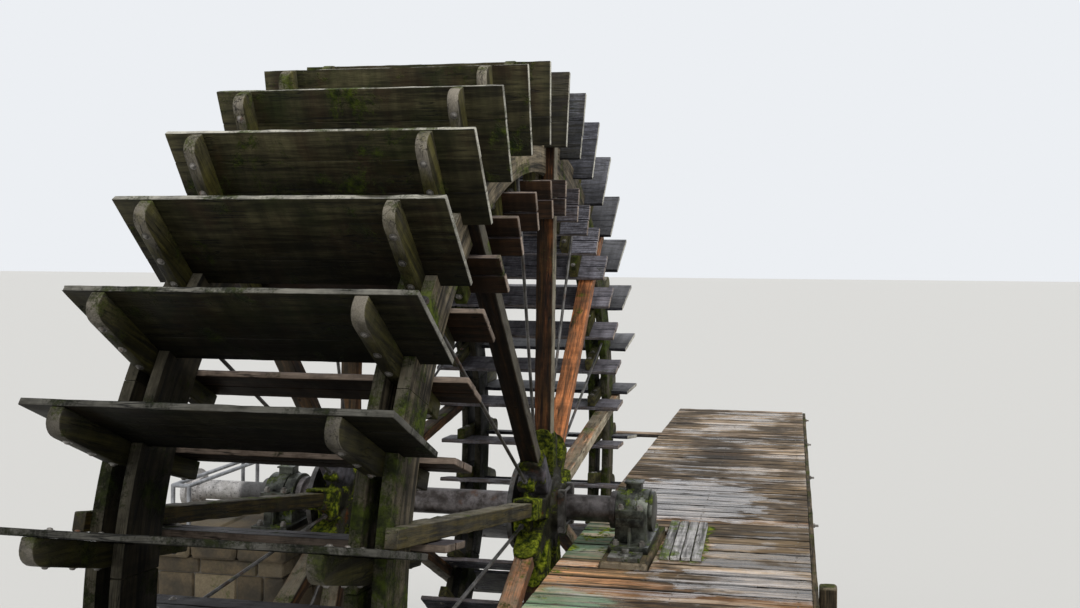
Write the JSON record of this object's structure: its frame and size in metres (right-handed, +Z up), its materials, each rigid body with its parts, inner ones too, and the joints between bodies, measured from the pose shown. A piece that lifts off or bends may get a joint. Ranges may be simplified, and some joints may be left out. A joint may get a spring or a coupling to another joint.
{
  "type": "undershot mill wheel with bearings and river deck",
  "caption": "Undershot timber mill wheel on a steel shaft, carried by a stone pier on the mill side and a timber deck on piles on the river side.",
  "frame": {"origin": "on the channel floor, straight below the axle, at the middle of the mill pier's length", "axes": "+X along the axle towards the river, +Y away from the viewer, +Z up"},
  "size_m": [5.9935, 11.0614, 7.3514],
  "materials": {
    "dark_iron": "wet dark iron with rust",
    "grey_iron": "weathered grey iron",
    "mossy_iron": "cast iron grown over with moss",
    "bearing_iron": "greasy cast iron with moss",
    "spoke_timber": "weathered brown timber",
    "rim_timber": "grey timber with moss",
    "knee_timber": "wet grey-brown timber",
    "paddle_timber": "wet dark timber with algae",
    "inner_timber": "wet dark red-brown timber",
    "pile_timber": "rough weathered timber",
    "deck_timber": "wet grey-brown deck planks",
    "pier_stone": "rough coursed stone",
    "rail_steel": "worn galvanised tube"
  },
  "bodies": {
    "root": {"river_bearing_base": "bearing_iron", "river_bearing_cap": "bearing_iron", "river_bearing_bolts": "grey_iron", "river_bearer": "pile_timber", "bearing_piles": "pile_timber", "anchor_plates": "bearing_iron", "mill_bearing_base": "bearing_iron", "mill_bearing_cap": "bearing_iron", "mill_bearing_bolts": "grey_iron", "mill_pier": "pier_stone", "shaft_guard": "rail_steel", "deck_planks": "deck_timber", "cover_panel": "deck_timber", "deck_joists": "pile_timber", "edge_beam": "pile_timber", "cap_beams": "pile_timber", "wheel_side_piles": "pile_timber", "river_side_piles": "pile_timber", "pile_braces": "pile_timber", "fender_post": "pile_timber"},
    "wheel": {"wheel_shaft": "dark_iron", "drive_shaft": "grey_iron", "river_hub": "mossy_iron", "mill_hub": "mossy_iron", "river_shaft_flange": "grey_iron", "mill_shaft_flange": "grey_iron", "hub_clamps": "grey_iron", "river_spokes": "spoke_timber", "mill_spokes": "spoke_timber", "river_rim_outer_ply": "rim_timber", "river_rim_inner_ply": "rim_timber", "mill_rim_outer_ply": "rim_timber", "mill_rim_inner_ply": "rim_timber", "river_knees": "knee_timber", "mill_knees": "knee_timber", "outer_paddles_a": "paddle_timber", "outer_paddles_b": "paddle_timber", "outer_paddles_c": "paddle_timber", "outer_paddles_d": "paddle_timber", "inner_paddles_a": "inner_timber", "inner_paddles_b": "inner_timber", "inner_paddles_c": "inner_timber", "inner_paddles_d": "inner_timber", "river_tie_rods": "grey_iron", "mill_tie_rods": "grey_iron"}
  },
  "joints": [
    {"name": "wheel_turn", "type": "hinge", "parent": "root", "child": "wheel", "pos_m": [0, 0, 3.75], "axis": [1, 0, 0], "continuous": true}
  ]
}
